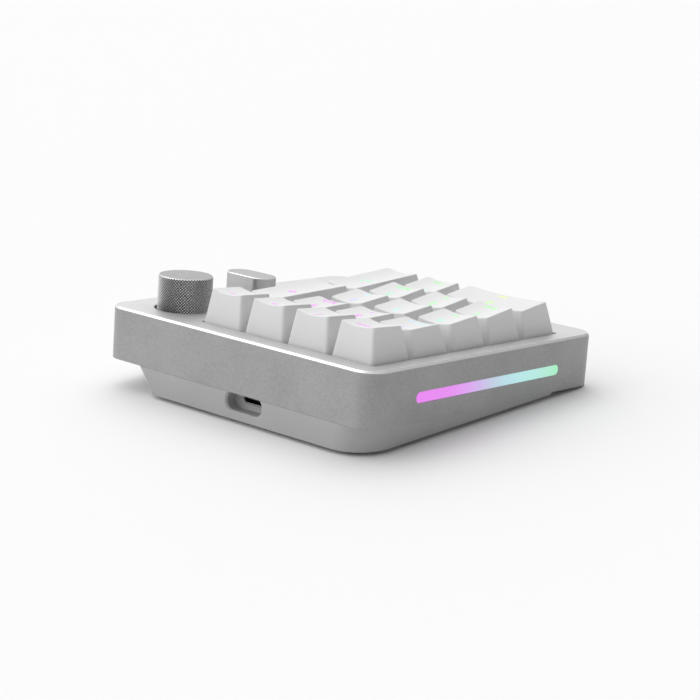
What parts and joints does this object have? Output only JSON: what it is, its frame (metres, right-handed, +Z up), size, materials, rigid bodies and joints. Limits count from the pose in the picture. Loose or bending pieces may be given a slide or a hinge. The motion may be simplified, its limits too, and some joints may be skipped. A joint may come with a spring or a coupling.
{
  "type": "numeric keypad",
  "caption": "Free-standing numeric keypad: metal top frame on a wedge lower case, sculpted sprung keys, a knurled turning knob, a slider, side light bars and a rear cable socket.",
  "frame": {"origin": "centre of the footprint, on the surface the feet stand on", "axes": "+X to the user's right, +Y to the rear where the cable socket is, +Z up; the top face tilts 4.6 degrees, higher at the rear"},
  "size_m": [0.1204, 0.1192, 0.0385],
  "materials": {
    "frame_metal": "fine bead-blasted silver",
    "case_shell": "fine satin silver-white",
    "key_plastic": "matte white double-shot",
    "stem_plastic": "smooth",
    "plate_steel": "satin",
    "board_laminate": "white solder mask",
    "knob_metal": "diamond knurled with a polished rim",
    "socket_metal": "satin",
    "dark_plastic": "smooth",
    "diffuser": "translucent, lit in a pink to green run",
    "foot_rubber": "matte",
    "screw_steel": "satin"
  },
  "bodies": {
    "case": {"top_frame": "frame_metal", "bottom_case": "case_shell", "light_bar_left": "diffuser", "light_bar_right": "diffuser", "light_strip_left": "board_laminate", "light_strip_right": "board_laminate", "switch_plate": "plate_steel", "circuit_board": "board_laminate", "encoder_body": "dark_plastic", "slider_track": "plate_steel", "usb_shell": "socket_metal", "usb_tongue": "dark_plastic", "usb_board": "board_laminate", "foot_rear_left": "foot_rubber", "foot_rear_right": "foot_rubber", "foot_front_left": "foot_rubber", "foot_front_right": "foot_rubber", "case_screw_rear_left": "screw_steel", "case_screw_rear_right": "screw_steel", "case_screw_front_left": "screw_steel", "case_screw_front_right": "screw_steel"},
    "key_num_lock": {"keycap_num_lock": "key_plastic", "switch_stem_num_lock": "stem_plastic"},
    "key_divide": {"keycap_divide": "key_plastic", "switch_stem_divide": "stem_plastic"},
    "key_multiply": {"keycap_multiply": "key_plastic", "switch_stem_multiply": "stem_plastic"},
    "key_subtract": {"keycap_subtract": "key_plastic", "switch_stem_subtract": "stem_plastic"},
    "key_7": {"keycap_7": "key_plastic", "switch_stem_7": "stem_plastic"},
    "key_8": {"keycap_8": "key_plastic", "switch_stem_8": "stem_plastic"},
    "key_9": {"keycap_9": "key_plastic", "switch_stem_9": "stem_plastic"},
    "key_add": {"keycap_add": "key_plastic", "switch_stem_add": "stem_plastic"},
    "key_4": {"keycap_4": "key_plastic", "switch_stem_4": "stem_plastic"},
    "key_5": {"keycap_5": "key_plastic", "switch_stem_5": "stem_plastic"},
    "key_6": {"keycap_6": "key_plastic", "switch_stem_6": "stem_plastic"},
    "key_1": {"keycap_1": "key_plastic", "switch_stem_1": "stem_plastic"},
    "key_2": {"keycap_2": "key_plastic", "switch_stem_2": "stem_plastic"},
    "key_3": {"keycap_3": "key_plastic", "switch_stem_3": "stem_plastic"},
    "key_enter": {"keycap_enter": "key_plastic", "switch_stem_enter": "stem_plastic"},
    "key_0": {"keycap_0": "key_plastic", "switch_stem_0": "stem_plastic"},
    "key_point": {"keycap_point": "key_plastic", "switch_stem_point": "stem_plastic"},
    "knob": {"knob": "knob_metal", "encoder_shaft": "socket_metal"},
    "slider": {"slider_cap": "knob_metal", "slider_lever": "plate_steel"}
  },
  "joints": [
    {"name": "key_num_lock_press", "type": "slide", "parent": "case", "child": "key_num_lock", "axis": [0, 0.0802, -0.9968], "range_m": [0, 0.004], "stiffness_N_per_m": 62.5, "springref_m": -0.0056},
    {"name": "key_divide_press", "type": "slide", "parent": "case", "child": "key_divide", "axis": [0, 0.0802, -0.9968], "range_m": [0, 0.004], "stiffness_N_per_m": 62.5, "springref_m": -0.0056},
    {"name": "key_multiply_press", "type": "slide", "parent": "case", "child": "key_multiply", "axis": [0, 0.0802, -0.9968], "range_m": [0, 0.004], "stiffness_N_per_m": 62.5, "springref_m": -0.0056},
    {"name": "key_subtract_press", "type": "slide", "parent": "case", "child": "key_subtract", "axis": [0, 0.0802, -0.9968], "range_m": [0, 0.004], "stiffness_N_per_m": 62.5, "springref_m": -0.0056},
    {"name": "key_7_press", "type": "slide", "parent": "case", "child": "key_7", "axis": [0, 0.0802, -0.9968], "range_m": [0, 0.004], "stiffness_N_per_m": 62.5, "springref_m": -0.0056},
    {"name": "key_8_press", "type": "slide", "parent": "case", "child": "key_8", "axis": [0, 0.0802, -0.9968], "range_m": [0, 0.004], "stiffness_N_per_m": 62.5, "springref_m": -0.0056},
    {"name": "key_9_press", "type": "slide", "parent": "case", "child": "key_9", "axis": [0, 0.0802, -0.9968], "range_m": [0, 0.004], "stiffness_N_per_m": 62.5, "springref_m": -0.0056},
    {"name": "key_add_press", "type": "slide", "parent": "case", "child": "key_add", "axis": [0, 0.0802, -0.9968], "range_m": [0, 0.004], "stiffness_N_per_m": 62.5, "springref_m": -0.0056},
    {"name": "key_4_press", "type": "slide", "parent": "case", "child": "key_4", "axis": [0, 0.0802, -0.9968], "range_m": [0, 0.004], "stiffness_N_per_m": 62.5, "springref_m": -0.0056},
    {"name": "key_5_press", "type": "slide", "parent": "case", "child": "key_5", "axis": [0, 0.0802, -0.9968], "range_m": [0, 0.004], "stiffness_N_per_m": 62.5, "springref_m": -0.0056},
    {"name": "key_6_press", "type": "slide", "parent": "case", "child": "key_6", "axis": [0, 0.0802, -0.9968], "range_m": [0, 0.004], "stiffness_N_per_m": 62.5, "springref_m": -0.0056},
    {"name": "key_1_press", "type": "slide", "parent": "case", "child": "key_1", "axis": [0, 0.0802, -0.9968], "range_m": [0, 0.004], "stiffness_N_per_m": 62.5, "springref_m": -0.0056},
    {"name": "key_2_press", "type": "slide", "parent": "case", "child": "key_2", "axis": [0, 0.0802, -0.9968], "range_m": [0, 0.004], "stiffness_N_per_m": 62.5, "springref_m": -0.0056},
    {"name": "key_3_press", "type": "slide", "parent": "case", "child": "key_3", "axis": [0, 0.0802, -0.9968], "range_m": [0, 0.004], "stiffness_N_per_m": 62.5, "springref_m": -0.0056},
    {"name": "key_enter_press", "type": "slide", "parent": "case", "child": "key_enter", "axis": [0, 0.0802, -0.9968], "range_m": [0, 0.004], "stiffness_N_per_m": 62.5, "springref_m": -0.0056},
    {"name": "key_0_press", "type": "slide", "parent": "case", "child": "key_0", "axis": [0, 0.0802, -0.9968], "range_m": [0, 0.004], "stiffness_N_per_m": 62.5, "springref_m": -0.0056},
    {"name": "key_point_press", "type": "slide", "parent": "case", "child": "key_point", "axis": [0, 0.0802, -0.9968], "range_m": [0, 0.004], "stiffness_N_per_m": 62.5, "springref_m": -0.0056},
    {"name": "knob_turn", "type": "hinge", "parent": "case", "child": "knob", "pos_m": [0.04115, 0.03912, 0.02634], "axis": [0, -0.0802, 0.9968], "continuous": true},
    {"name": "slider_travel", "type": "slide", "parent": "case", "child": "slider", "axis": [0, 0.9968, 0.0802], "range_m": [-0.038, 0.007]}
  ]
}
